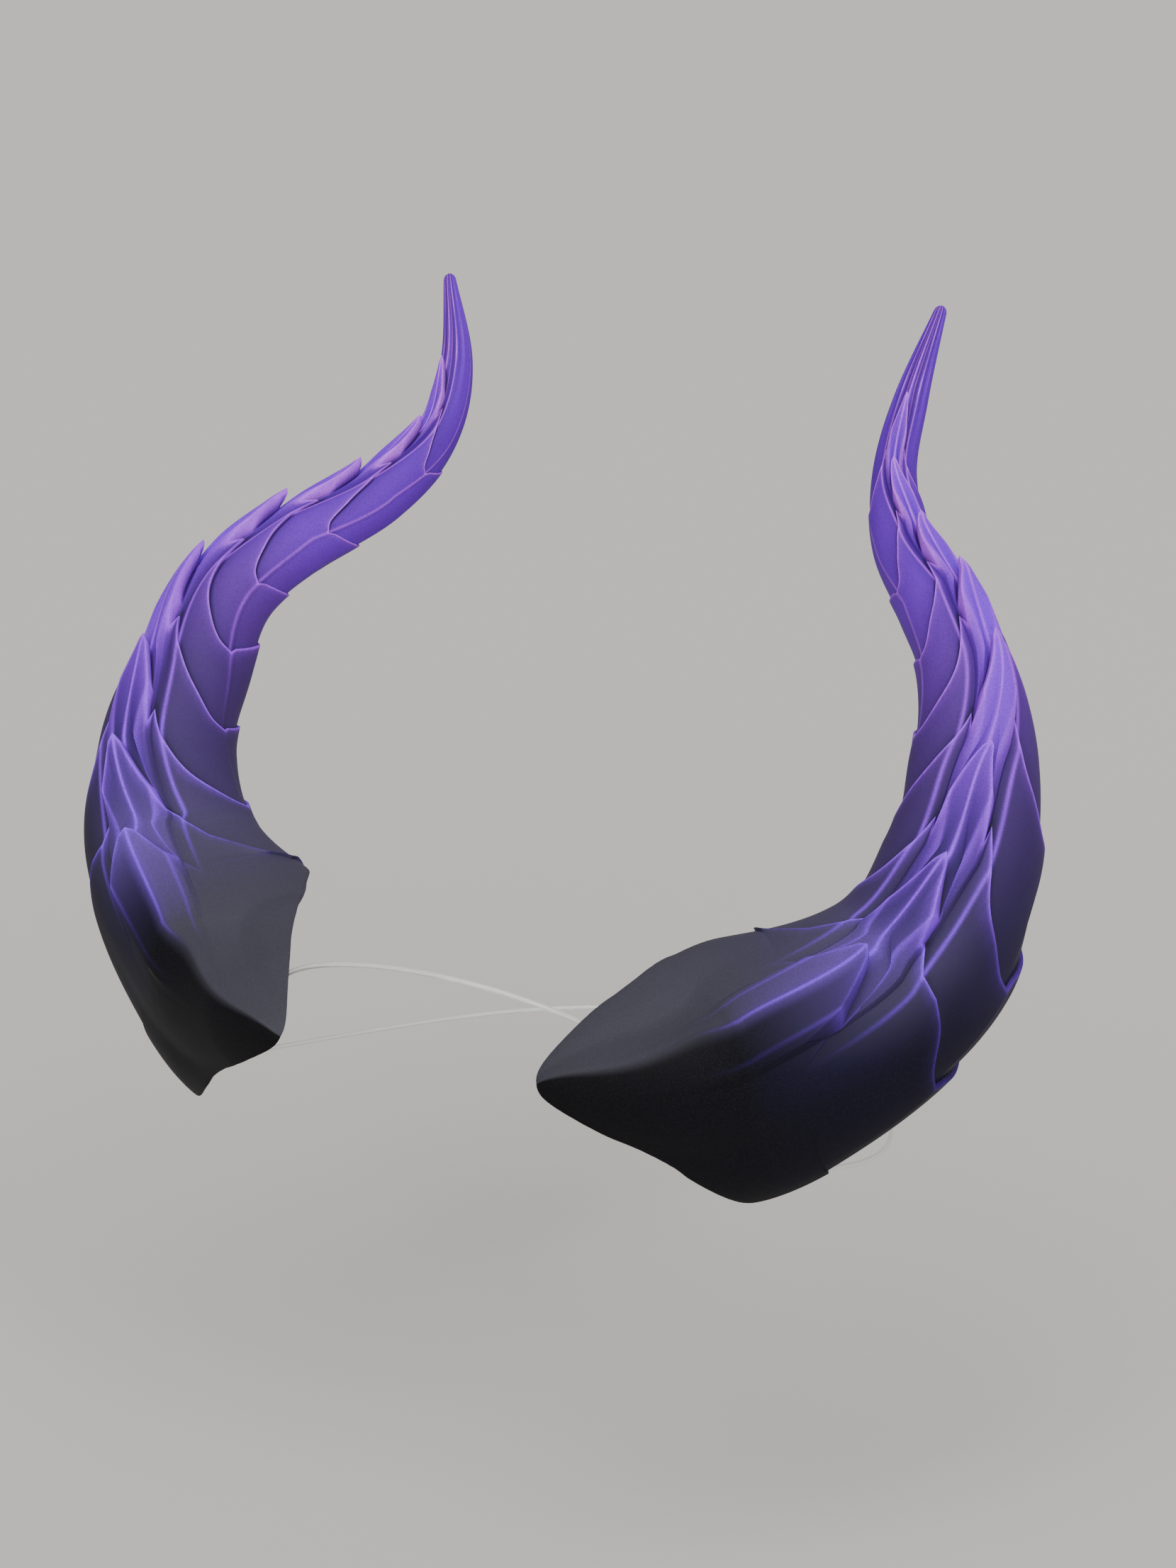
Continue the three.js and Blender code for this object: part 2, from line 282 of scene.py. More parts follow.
class Socket:
    """An output socket that takes part in Python expressions, which add the nodes they need."""

    def __init__(self, nodes, socket):
        self.nodes = nodes
        self.socket = socket

    @property
    def is_vector(self):
        return self.socket.type == "VECTOR"

    def __add__(self, other):
        return self.nodes.sum("ADD", self, other)

    def __radd__(self, other):
        return self.nodes.sum("ADD", other, self)

    def __sub__(self, other):
        return self.nodes.sum("SUBTRACT", self, other)

    def __rsub__(self, other):
        return self.nodes.sum("SUBTRACT", other, self)

    def __mul__(self, other):
        return self.nodes.sum("MULTIPLY", self, other)

    def __rmul__(self, other):
        return self.nodes.sum("MULTIPLY", other, self)

    def __truediv__(self, other):
        return self.nodes.sum("DIVIDE", self, other)

    def __rtruediv__(self, other):
        return self.nodes.sum("DIVIDE", other, self)

    def __pow__(self, other):
        return self.nodes.math("POWER", self, other)

    def __lt__(self, other):
        return self.nodes.math("LESS_THAN", self, other)

    def __gt__(self, other):
        return self.nodes.math("GREATER_THAN", self, other)


class Nodes:
    """A node tree, with one method that adds any node and a few that add the common ones."""

    def __init__(self, tree):
        self.tree = tree

    def add(self, kind, settings=None, sockets=None, out=0):
        node = self.tree.nodes.new(kind)
        for name, value in (settings or {}).items():
            if name == "stops":
                self.set_stops(node.color_ramp, value)
            else:
                setattr(node, name, value)
        for key, value in (sockets or {}).items():
            if isinstance(value, Socket):
                self.tree.links.new(value.socket, node.inputs[key])
            else:
                node.inputs[key].default_value = value
        return Socket(self, node.outputs[out]) if len(node.outputs) else node

    @staticmethod
    def set_stops(ramp, stops):
        while len(ramp.elements) < len(stops):
            ramp.elements.new(1)
        for element, (place, colour) in zip(ramp.elements, stops):
            element.position = place
            element.color = (*colour, 1)

    def math(self, operation, *values):
        return self.add("ShaderNodeMath", {"operation": operation}, dict(enumerate(values)))

    def vector(self, operation, *values, out=0):
        settings = {"operation": operation}
        return self.add("ShaderNodeVectorMath", settings, dict(enumerate(values)), out)

    def sum(self, operation, a, b):
        """A sum of two numbers or two vectors, or a vector scaled by a number."""
        vectors = [isinstance(v, Vector) or (isinstance(v, Socket) and v.is_vector) for v in (a, b)]
        if not any(vectors):
            return self.math(operation, a, b)
        if all(vectors):
            return self.vector(operation, a, b)
        vector, factor = (a, b) if vectors[0] else (b, a)
        sockets = {"Vector": vector, "Scale": factor}
        return self.add("ShaderNodeVectorMath", {"operation": "SCALE"}, sockets)

    def length(self, vector):
        return self.vector("LENGTH", vector, out="Value")

    def dot(self, a, b):
        return self.vector("DOT_PRODUCT", a, b, out="Value")

    def clamp(self, value):
        return self.add("ShaderNodeClamp", {}, {"Value": value})

    def parts(self, vector):
        split = self.add("ShaderNodeSeparateXYZ", {}, {0: vector}).socket.node
        return [Socket(self, output) for output in split.outputs]

    def join(self, x, y, z):
        return self.add("ShaderNodeCombineXYZ", {}, {0: x, 1: y, 2: z})

    def smoothstep(self, value, low, high):
        settings = {"interpolation_type": "SMOOTHSTEP"}
        sockets = {"Value": value, "From Min": low, "From Max": high}
        return self.add("ShaderNodeMapRange", settings, sockets)

    def fade(self, distance, width):
        """1 on a line, falling off softly over a width on both sides of it."""
        return self.math("POWER", math.e, 0 - (distance / width) ** 2)

    def mix(self, factor, a, b):
        """Colour a, and b where the factor is 1."""
        return self.add("ShaderNodeMix", {"data_type": "RGBA"}, {0: factor, 6: a, 7: b}, 2)


# The horn's rule


def catmull_rom(rows, stations):
    """Points on the uniform spline through the rows, at stations counted in spans."""
    rows = np.array(rows, dtype=float)
    ends = np.vstack([2 * rows[0] - rows[1], rows, 2 * rows[-1] - rows[-2]])
    span = np.clip(np.floor(stations).astype(int), 0, len(rows) - 2)
    t = (stations - span)[:, None]
    p0, p1, p2, p3 = (ends[span + k] for k in range(4))
    return 0.5 * (
        2 * p1
        + (p2 - p0) * t
        + (2 * p0 - 5 * p1 + 4 * p2 - p3) * t**2
        + (3 * p1 - p0 - 3 * p2 + p3) * t**3
    )


def unit(vectors):
    return vectors / np.linalg.norm(vectors, axis=1, keepdims=True)


def axis_samples():
    """The axis at close steps: its points, the keel's and side's directions, half width and pace."""
    stations = np.linspace(0, SPANS, SPANS * AXIS_STEPS + 1)
    centres = catmull_rom([(s.x, s.y, s.z) for s in SECTIONS], stations) * MM
    turn, half = catmull_rom([(s.turn, s.half) for s in SECTIONS], stations).T
    slopes = np.gradient(centres, stations, axis=0)
    along = unit(slopes)
    straight_ahead = np.array([0, -1, 0])
    ahead = unit(straight_ahead - along * (along @ straight_ahead)[:, None])
    across = np.cross(along, ahead)
    turn = np.radians(turn)[:, None]
    keel = np.cos(turn) * ahead + np.sin(turn) * across
    nose = np.minimum(1, stations / NOSE)
    point = np.minimum(1, (SPANS - stations) / POINT)
    rounding = np.sqrt(nose * (2 - nose) * point * (2 - point))
    return {
        "position": centres,
        "keel": keel,
        "side": np.cross(along, keel),
        "half": half * rounding * MM,
        "pace": np.linalg.norm(slopes, axis=1),
    }


def across_lines(name, angles):
    """A column of LINES at any angles: straight at a sharp line and rolling over a soft one."""
    places = np.array([line.angle for line in LINES], dtype=float)
    values = np.array([getattr(line, name) for line in LINES], dtype=float)
    secants = np.diff(values) / np.diff(places)
    out = np.empty(len(angles))
    for k, angle in enumerate(angles):
        i = min(np.searchsorted(places, angle, side="right") - 1, len(LINES) - 2)
        slopes = []
        for j in (i, i + 1):
            plain = name == "root" and LINES[j].angle < ROOT_PLAIN
            if not (LINES[j].soft or plain):
                slopes.append(secants[i])
            elif j in (0, len(LINES) - 1):
                slopes.append(0)
            else:
                slopes.append((values[j + 1] - values[j - 1]) / (places[j + 1] - places[j - 1]))
        gap = places[i + 1] - places[i]
        t = (angle - places[i]) / gap
        out[k] = (
            values[i] * (1 + 2 * t) * (1 - t) ** 2
            + values[i + 1] * t * t * (3 - 2 * t)
            + gap * (slopes[0] * t * (1 - t) ** 2 - slopes[1] * t * t * (1 - t))
        )
    return out


def section_samples():
    """One turn round the section from belly to belly, with every column of LINES that shapes it."""
    half_turn = []
    for line, after in zip(LINES, LINES[1:]):
        half_turn.extend(np.linspace(line.angle, after.angle, line.columns, endpoint=False))
    half_turn.append(LINES[-1].angle)
    angles = np.array([-a for a in half_turn[:0:-1]] + half_turn)
    from_keel = np.abs(angles)
    sides = np.sign(angles)
    columns = ("reach", "root", "side", "flank", "belly", "step", "plate", "tuck", "foot", "pinch")
    turn = {"angle": angles} | {name: across_lines(name, from_keel) for name in columns}
    turn["pinch"] *= sides
    turn["foot"] *= sides * np.where(angles < 0, INNER_FOOT, 1)
    turn["skew"] = sides * np.clip((from_keel - SKEW_FROM) / (SKEW_TO - SKEW_FROM), 0, 1)
    turn["behind"] = np.stack([turn[name] for name in ("side", "flank", "belly")], axis=1)
    turn["behind_slope"] = np.gradient(turn["behind"], np.radians(angles), axis=0)
    leaning = turn["step"] * sides * np.minimum(1, from_keel / LEAN_FROM)
    jut = JUT * np.clip((angles - JUT_FROM) / (JUT_TO - JUT_FROM), 0, 1)
    turn["raised"] = np.stack([turn["step"] + jut, leaning, turn["plate"]], axis=1)
    return turn


def row_samples():
    """Rows from prow to point: where the scale runs from and to, and how far along it the row lies."""
    rows = []
    start = ((0, 0, 0), (0, 0, 0))
    start_tuck = 0
    for ring in RINGS:
        first = not rows
        end = ((ring.side, ring.flank, ring.belly), (ring.tip, ring.skew, ring.foot))
        heights = np.array((ring.lift, ring.lift * ring.lean, ring.plate)) * MM
        for share in np.linspace(0, 1, ring.rows + 1):
            share = share**FIRST_CROWDING if first else share
            risen = share**FIRST_RISE if first else share * share * (3 - 2 * share)
            rows.append((*start, *end, not first, heights * risen, share, 0, (start_tuck, 0, 0)))
        for wall in np.linspace(0, 1, WALL_ROWS + 2)[1:-1]:
            tucked = (start_tuck, wall**2 * ring.tuck, 0)
            rows.append((*start, *end, not first, heights * (1 - wall), 1, wall, tucked))
        start = end
        start_tuck = ring.tuck
    point = ((0, 0, 0), (SPANS, 0, 0))
    for share in np.linspace(0, 1, POINT_ROWS + 1):
        share = 1 - (1 - share) ** POINT_CROWDING
        rows.append((*start, *point, True, (0, 0, 0), share, 0, (start_tuck, 0, 0)))
    names = ("start", "start_tip", "end", "end_tip", "scaled", "heights", "share", "wall", "tucked")
    return {name: np.array(column, dtype=float) for name, column in zip(names, zip(*rows))}


def point_mesh(name, attributes):
    """A mesh of loose points that carries the samples as attributes."""
    count = len(next(iter(attributes.values())))
    mesh = bpy.data.meshes.new(name)
    mesh.vertices.add(count)
    for key, values in attributes.items():
        values = np.asarray(values, dtype=np.float32)
        if key == "position":
            mesh.vertices.foreach_set("co", values.ravel())
        elif values.ndim == 2:
            vectors = mesh.attributes.new(key, "FLOAT_VECTOR", "POINT")
            vectors.data.foreach_set("vector", values.ravel())
        else:
            numbers = mesh.attributes.new(key, "FLOAT", "POINT")
            numbers.data.foreach_set("value", values)
    return mesh


def new_object(name, data):
    piece = bpy.data.objects.new(name, data)
    bpy.context.scene.collection.objects.link(piece)
    return piece


def discard(piece):
    """Removes an object together with its data."""
    bpy.data.batch_remove([piece, piece.data])


# Trees that grow a piece by its rule


def new_tree(name, sockets):
    """An empty tree with its named inputs, and the sockets that they come in by."""
    tree = bpy.data.node_groups.new(name, "GeometryNodeTree")
    tree.interface.new_socket("Geometry", in_out="INPUT", socket_type="NodeSocketGeometry")
    tree.interface.new_socket("Geometry", in_out="OUTPUT", socket_type="NodeSocketGeometry")
    for socket, kind in sockets.items():
        tree.interface.new_socket(socket, in_out="INPUT", socket_type="NodeSocket" + kind)
    nodes = Nodes(tree)
    group_input = tree.nodes.new("NodeGroupInput")
    inputs = {s.name: Socket(nodes, s) for s in group_input.outputs if s.name}
    return nodes, inputs


def finish_tree(nodes, geometry, material):
    """Ends a tree: its instances become real and get their material."""
    real = nodes.add("GeometryNodeRealizeInstances", {}, {"Geometry": geometry})
    painted = nodes.add("GeometryNodeSetMaterial", {}, {"Geometry": real, "Material": material})
    output = nodes.tree.nodes.new("NodeGroupOutput")
    nodes.tree.links.new(painted.socket, output.inputs[0])
    return nodes.tree


def grow(seed, tree, values):
    """Runs a tree on a seed, with its inputs set by identifier; a plain mesh takes the seed's place."""
    modifier = seed.modifiers.new(tree.name, "NODES")
    modifier.node_group = tree
    for item in tree.interface.items_tree:
        if item.in_out == "INPUT" and item.name in values:
            modifier[item.identifier] = values[item.name]
    graph = bpy.context.evaluated_depsgraph_get()
    mesh = bpy.data.meshes.new_from_object(seed.evaluated_get(graph), depsgraph=graph)
    seed.modifiers.remove(modifier)
    name = seed.name
    discard(seed)
    mesh.name = name
    return new_object(name, mesh)


def sample(nodes, geometry, name, index, kind="FLOAT"):
    """An attribute of a mesh's points, read at an index."""
    if name == "position":
        value = nodes.add("GeometryNodeInputPosition")
    else:
        value = nodes.add("GeometryNodeInputNamedAttribute", {"data_type": kind}, {"Name": name})
    settings = {"data_type": kind, "domain": "POINT", "clamp": True}
    sockets = {"Geometry": geometry, "Value": value, "Index": index}
    return nodes.add("GeometryNodeSampleIndex", settings, sockets)


def store(nodes, geometry, name, vector):
    settings = {"data_type": "FLOAT_VECTOR", "domain": "POINT"}
    sockets = {"Geometry": geometry, "Name": name, "Value": vector}
    return nodes.add("GeometryNodeStoreNamedAttribute", settings, sockets)


HORN_INPUTS = {
    "Section": "Object",
    "Rows": "Object",
    "Columns": "Int",
    "Row Count": "Int",
    "Pinched At": "Float",
    "Axis Steps": "Float",
    "Root From": "Float",
    "Root To": "Float",
    "Root Twist": "Float",
    "Root Flank": "Float",
    "Sway": "Float",
    "Sway Stations": "Vector",
    "Flutes": "Float",
    "Flute Depth": "Float",
    "Fluted From": "Float",
    "Fluted To": "Float",
    "Fluted Within": "Float",
    "Plain Beyond": "Float",
    "Hollow Centre": "Vector",
    "Hollow Half": "Vector",
    "Seat Rim": "Float",
    "Rim Passes": "Int",
    "Core": "Float",
    "Side": "Float",
    "Paint": "Material",
}

# A point as its scale lays it: the angle of its line and the angle it is bent to, reach and root
# from the line, station, height, how far down a wall, and both edges with their slopes.
Laid = namedtuple("Laid", "angle bent reach root station height wall start start_slope end end_slope")


def laid_on_scale(nodes, given):
    """Where each point of the grid lies by the scale of its row and the line of its column."""
    section = nodes.add("GeometryNodeObjectInfo", {}, {"Object": given["Section"]}, "Geometry")
    rows = nodes.add("GeometryNodeObjectInfo", {}, {"Object": given["Rows"]}, "Geometry")
    index = nodes.add("GeometryNodeInputIndex")
    row = nodes.math("FLOOR", index / given["Columns"])
    column = index - row * given["Columns"]

    def of_line(name, kind="FLOAT"):
        return sample(nodes, section, name, column, kind)

    def of_scale(name, kind="FLOAT"):
        return sample(nodes, rows, name, row, kind)

    angle, skew, tuck, foot, pinch = map(of_line, ("angle", "skew", "tuck", "foot", "pinch"))
    behind = of_line("behind", "FLOAT_VECTOR")
    behind_slope = of_line("behind_slope", "FLOAT_VECTOR")
    share, wall, scaled = map(of_scale, ("share", "wall", "scaled"))

    def edge(name):
        """A ring's edge in this column: its station, how it slopes, and its wall's foot in degrees."""
        measures = of_scale(name, "FLOAT_VECTOR")
        tip, ring_skew, ring_foot = nodes.parts(of_scale(name + "_tip", "FLOAT_VECTOR"))
        place = tip - nodes.dot(behind, measures) - skew * ring_skew
        return place, nodes.dot(behind_slope, measures), foot * ring_foot

    start, start_slope, start_foot = edge("start")
    end, end_slope, end_foot = edge("end")
    start_tuck, end_tuck, _ = nodes.parts(of_scale("tucked", "FLOAT_VECTOR"))
    start = start - tuck * start_tuck
    station = start + (end - start) * share - tuck * end_tuck
    height = nodes.dot(of_scale("heights", "FLOAT_VECTOR"), of_line("raised", "FLOAT_VECTOR"))
    pinched_at = given["Pinched At"]
    dip = nodes.math("MINIMUM", share / pinched_at, (1 - share) / (1 - pinched_at))
    bent = angle + start_foot * (1 - share) ** 2 - pinch * scaled * dip + end_foot * wall
    reach, root = map(of_line, ("reach", "root"))
    return Laid(angle, bent, reach, root, station, height, wall, start, start_slope, end, end_slope)


def axis_reader(nodes, given, station):
    """A function that reads the axis's samples at a station, also between two of them."""
    place = station * given["Axis Steps"]
    low = nodes.math("FLOOR", place)

    def read(name, kind="FLOAT_VECTOR"):
        before = sample(nodes, given["Geometry"], name, low, kind)
        after = sample(nodes, given["Geometry"], name, low + 1, kind)
        return before + (after - before) * (place - low)

    return read


def flute_height(nodes, given, laid):
    """How far the flutes stand off the point, in half widths."""
    from_keel = nodes.math("ABSOLUTE", laid.angle)
    plain = nodes.smoothstep(from_keel, given["Fluted Within"], given["Plain Beyond"])
    fluted = nodes.smoothstep(laid.station, given["Fluted From"], given["Fluted To"])
    wave = nodes.math("COSINE", nodes.math("RADIANS", laid.angle) * given["Flutes"])
    return wave * (fluted * given["Flute Depth"]) * (1 - plain)


def root_turn(nodes, given, laid, grown):
    """How far the seat's sides and the keel above it are turned, in degrees."""
    flank = nodes.math("MINIMUM", nodes.math("ABSOLUTE", laid.angle) / given["Root Flank"], 1)
    sway_from, sway_most, sway_to = nodes.parts(given["Sway Stations"])
    swinging = nodes.smoothstep(laid.station, sway_from, sway_most)
    swung = swinging * nodes.smoothstep(laid.station, sway_to, sway_most)
    return given["Root Twist"] * (1 - grown) * flank - given["Sway"] * swung * (1 - flank)


def pressed_to_hollow(nodes, given, inside, skin):
    """Where a ray from inside the section ends: on the skin, or before that on the hollow."""
    ray = skin - inside
    from_centre = (inside - given["Hollow Centre"]) / given["Hollow Half"]
    stretched = ray / given["Hollow Half"]
    square = nodes.dot(stretched, stretched)
    approach = nodes.dot(from_centre, stretched) / square
    clearance = (nodes.dot(from_centre, from_centre) - 1) / square
    reached = approach * approach - clearance
    enters = 0 - approach - nodes.math("SQRT", nodes.math("MAXIMUM", reached, 0))
    misses = nodes.math("MAXIMUM", reached < 0, approach > 0)
    enters = enters + (PAST_SKIN - enters) * misses
    ray_length = nodes.math("MAXIMUM", nodes.length(ray), MM)
    return inside + ray * nodes.math("SMOOTH_MIN", 1, enters, given["Seat Rim"] / ray_length)


def nearness_to_rim(nodes, given, skin):
    """1 where the skin meets the hollow, falling off on both sides."""
    apart = skin - given["Hollow Centre"]
    clear = nodes.length(apart) * (1 - 1 / nodes.length(apart / given["Hollow Half"]))
    return nodes.fade(clear, RIM_REACH * given["Seat Rim"])


def even_rim(nodes, mesh, passes):
    """Evens out the seat's rim, which comes marked by its own attribute."""
    rim = nodes.add("GeometryNodeInputNamedAttribute", {"data_type": "FLOAT_VECTOR"}, {"Name": "rim"})
    sockets = {
        "Value": nodes.add("GeometryNodeInputPosition"),
        "Iterations": passes,
        "Weight": nodes.parts(rim)[0],
    }
    evened = nodes.add("GeometryNodeBlurAttribute", {"data_type": "FLOAT_VECTOR"}, sockets)
    mesh = nodes.add("GeometryNodeSetPosition", {}, {"Geometry": mesh, "Position": evened})
    return nodes.add("GeometryNodeRemoveAttribute", {}, {"Geometry": mesh, "Name": "rim"})


def crisp_edges(nodes, mesh):
    """Smooth faces with crisp edges where they meet at an angle."""
    sharp = nodes.add("GeometryNodeInputMeshEdgeAngle") > math.radians(CREASE)
    smooth = {0: mesh, "Shade Smooth": True}
    mesh = nodes.add("GeometryNodeSetShadeSmooth", {"domain": "FACE"}, smooth)
    crisp = {0: mesh, "Selection": sharp, "Shade Smooth": False}
    return nodes.add("GeometryNodeSetShadeSmooth", {"domain": "EDGE"}, crisp)


def horn_tree():
    """Scales laid ring by ring over the axis, and the seat pressed into the hollow's form."""
    nodes, given = new_tree("scaled_horn", HORN_INPUTS)
    laid = laid_on_scale(nodes, given)
    on_axis = axis_reader(nodes, given, laid.station)
    centre, keel, side = map(on_axis, ("position", "keel", "side"))
    half = on_axis("half", "FLOAT")
    pace = on_axis("pace", "FLOAT")

    grown = nodes.smoothstep(laid.station, given["Root From"], given["Root To"])
    reach = laid.root + (laid.reach - laid.root) * grown + flute_height(nodes, given, laid)
    radius = half * reach + laid.height
    turned = nodes.math("RADIANS", laid.bent + root_turn(nodes, given, laid, grown))
    outward = keel * nodes.math("COSINE", turned) + side * nodes.math("SINE", turned)
    skin = centre + outward * radius
    inside = centre + keel * (half * given["Core"] + given["Seat Rim"])
    pressed = pressed_to_hollow(nodes, given, inside, skin)
    mirrored = pressed * nodes.join(given["Side"], 1, 1)

    def square_to(distance, slope):
        """A distance along the horn, as one square to an edge that slopes."""
        slant = slope * pace / nodes.math("MAXIMUM", radius, MM)
        return distance * pace / nodes.math("SQRT", 1 + slant * slant)

    behind = square_to(laid.end - laid.station, laid.end_slope)
    before = square_to(laid.station - laid.start, laid.start_slope)

    size = {"Vertices X": given["Row Count"], "Vertices Y": given["Columns"]}
    mesh = nodes.add("GeometryNodeMeshGrid", {}, size)
    mesh = store(nodes, mesh, "scale_place", nodes.join(behind, before, laid.wall))
    mesh = store(nodes, mesh, "horn_place", nodes.join(laid.angle, radius, laid.station))
    mesh = store(nodes, mesh, "rim", nodes.join(nearness_to_rim(nodes, given, skin), 0, 0))
    mesh = nodes.add("GeometryNodeSetPosition", {}, {"Geometry": mesh, "Position": mirrored})
    mesh = nodes.add("GeometryNodeMergeByDistance", {}, {"Geometry": mesh, "Distance": WELD})
    mesh = even_rim(nodes, mesh, given["Rim Passes"])
    return finish_tree(nodes, crisp_edges(nodes, mesh), given["Paint"])


def cord_tree():
    """A round cord along a path."""
    nodes, given = new_tree("clear_cord", {"Radius": "Float", "Sides": "Int", "Finish": "Material"})
    round_section = {"Resolution": given["Sides"], "Radius": given["Radius"]}
    circle = nodes.add("GeometryNodeCurvePrimitiveCircle", {}, round_section)
    path = {"Curve": given["Geometry"], "Profile Curve": circle, "Fill Caps": True}
    tube = nodes.add("GeometryNodeCurveToMesh", {}, path)
    return finish_tree(nodes, tube, given["Finish"])


# Finishes


def srgb(red, green, blue):
    """A colour as an eye names it, 0 to 255, as the light it reflects."""
    shares = [channel / 255 for channel in (red, green, blue)]
    return tuple(s / 12.92 if s <= 0.04045 else ((s + 0.055) / 1.055) ** 2.4 for s in shares)


def new_material(name):
    material = bpy.data.materials.new(name)
    material.use_nodes = True
    material.node_tree.nodes.clear()
    return material, Nodes(material.node_tree)


def surface(nodes, sockets):
    """The material's one shader and its output."""
    shader = nodes.add("ShaderNodeBsdfPrincipled", {}, sockets)
    nodes.add("ShaderNodeOutputMaterial", {}, {"Surface": shader})


def attribute(nodes, name):
    return nodes.parts(nodes.add("ShaderNodeAttribute", {"attribute_name": name}, {}, "Vector"))


# A spot on the horn: how far it lies behind the edge of its scale and in front of the edge before,
# in millimetres, how far down a wall, its angle with and without its side, the arc to the keel in
# millimetres, radius, station, and how broad marks are there.
Spot = namedtuple("Spot", "behind before wall round_axis angle arc radius station broad")


def spot_on_horn(nodes):
    behind, before, wall = attribute(nodes, "scale_place")
    round_axis, radius, station = attribute(nodes, "horn_place")
    angle = nodes.math("ABSOLUTE", round_axis)
    arc = angle * radius * (math.radians(1) / MM)
    broad = nodes.math("MINIMUM", radius / MARK_RADIUS, BROADEST)
    return Spot(behind / MM, before / MM, wall, round_axis, angle, arc, radius, station, broad)


def within(nodes, spot, stretch):
    return stretch.most * nodes.smoothstep(spot.station, stretch.none, stretch.full)


def marked(nodes, distance, mark):
    return mark.most * nodes.fade(distance, mark.width)


def beside(spot, line_angle):
    """How far a spot lies beside a line along the horn, in millimetres."""
    return spot.arc - spot.radius * (math.radians(line_angle) / MM)


def along_horn(nodes, spot, stops):
    colours = [(place, srgb(*colour)) for place, colour in stops]
    return nodes.add("ShaderNodeValToRGB", {"stops": colours}, {"Fac": spot.station / SPANS})


def ground_and_shade_coat(nodes, spot):
    """Violet keel and duller plates, darkened on the outer and lower sides: black paint up from the
    seat, and painted shade.
    """
    keel_ground = along_horn(nodes, spot, KEEL_GROUND)
    plate_ground = along_horn(nodes, spot, PLATE_GROUND)
    colour = nodes.mix(nodes.smoothstep(spot.angle, *PLATE_ANGLES), keel_ground, plate_ground)
    outer = nodes.smoothstep(spot.round_axis, *OUTER_ANGLES)
    lower = nodes.smoothstep(spot.round_axis, *LOWER_ANGLES)
    # painted shade over the outer and lower sides, with the black paint near the seat
    painted_shade_and_black = outer * (within(nodes, spot, OUTER_BLACK_AND_SHADE) + within(nodes, spot, OUTER_PAINTED_SHADE))
    painted_shade_and_black = painted_shade_and_black + lower * within(nodes, spot, LOWER_PAINTED_SHADE)
    colour = nodes.mix(nodes.clamp(painted_shade_and_black), colour, along_horn(nodes, spot, BLACK_AND_SHADE))
    # the underside near the seat: black paint, deepened by painted shade
    seat_black_and_shade = BLACK_AND_SHADE[0][1]
    return nodes.mix(lower * within(nodes, spot, LOWER_BLACK_AND_SHADE), colour, (*srgb(*seat_black_and_shade), 1))


def recess_shade(nodes, spot, flute):
    """How much painted shade, in slate, lies in the grooves, under the edges, on the walls and between
    the flutes.
    """
    shade = marked(nodes, beside(spot, GROOVE), GROOVE_SHADE)
    shade = shade + marked(nodes, spot.before / spot.broad, UNDER_EDGE_SHADE)
    shade = shade + marked(nodes, spot.before, BELOW_EDGE_SHADE)
    shade = nodes.clamp(shade) * (1 - spot.wall) * within(nodes, spot, EDGED)
    shade = shade * nodes.smoothstep(spot.angle, *ABOVE_BELLY_ANGLES)
    wall_shade = nodes.smoothstep(spot.wall, 0, WALL_TOP) * within(nodes, spot, PAINTED_SHADE_ON_WALLS)
    return nodes.clamp(shade + wall_shade + FLUTE_SHADE * nodes.math("MAXIMUM", 0 - flute, 0))


def bare_side(nodes, spot):
    """Where next to no lilac lies: the outer side near the seat and low on it above, the sides that
    also take painted shade.
    """
    past_keel = nodes.smoothstep(spot.round_axis, *PAST_KEEL_ANGLES)
    lower = nodes.smoothstep(spot.round_axis, *LOWER_ANGLES)
    return nodes.clamp(
        past_keel * within(nodes, spot, OUTER_BARE) + lower * within(nodes, spot, LOWER_BARE)
    )


def lilac_haze(nodes, spot, bare, patchy):
    """How much lilac the brush leaves round the edges and the keel."""
    haze = marked(nodes, spot.behind / spot.broad, EDGE_HAZE) * within(nodes, spot, EDGED)
    haze = haze + marked(nodes, spot.arc / spot.broad, KEEL_HAZE)
    haze = haze * within(nodes, spot, BRUSHED) * (1 - within(nodes, spot, HAZE_LOST))
    haze = haze * (1 - within(nodes, spot, HAZE_LOST_ON_FLUTES)) * (1 - HAZE_LOST_BARE * bare)
    return nodes.clamp(haze * patchy)


def lilac_lines(nodes, spot, flute, bare, patchy):
    """How much lilac the brush leaves on the edges, the keel, the ridges and the flutes."""
    edged = within(nodes, spot, EDGED)
    line = marked(nodes, spot.behind / spot.broad, EDGE_LINE) * (1 - spot.wall) * edged
    line = line + marked(nodes, spot.arc / spot.broad, KEEL_LINE)
    line = line + marked(nodes, beside(spot, FOLD) / spot.broad, FOLD_LINE)
    line = line + marked(nodes, beside(spot, FLANK_RIDGE) / spot.broad, FLANK_LINE) * edged
    cheek = marked(nodes, beside(spot, CHEEK) / spot.broad, CHEEK_LINE)
    line = line + cheek * within(nodes, spot, CHEEK_BRUSHED)
    line = line + FLUTE_LINE * nodes.math("MAXIMUM", flute, 0) ** FLUTE_CREST
    line = nodes.clamp(line) * within(nodes, spot, BRUSHED) * (1 - LINES_LOST_BARE * bare)
    return nodes.clamp(line * (EVEN_LINES + (1 - EVEN_LINES) * patchy))


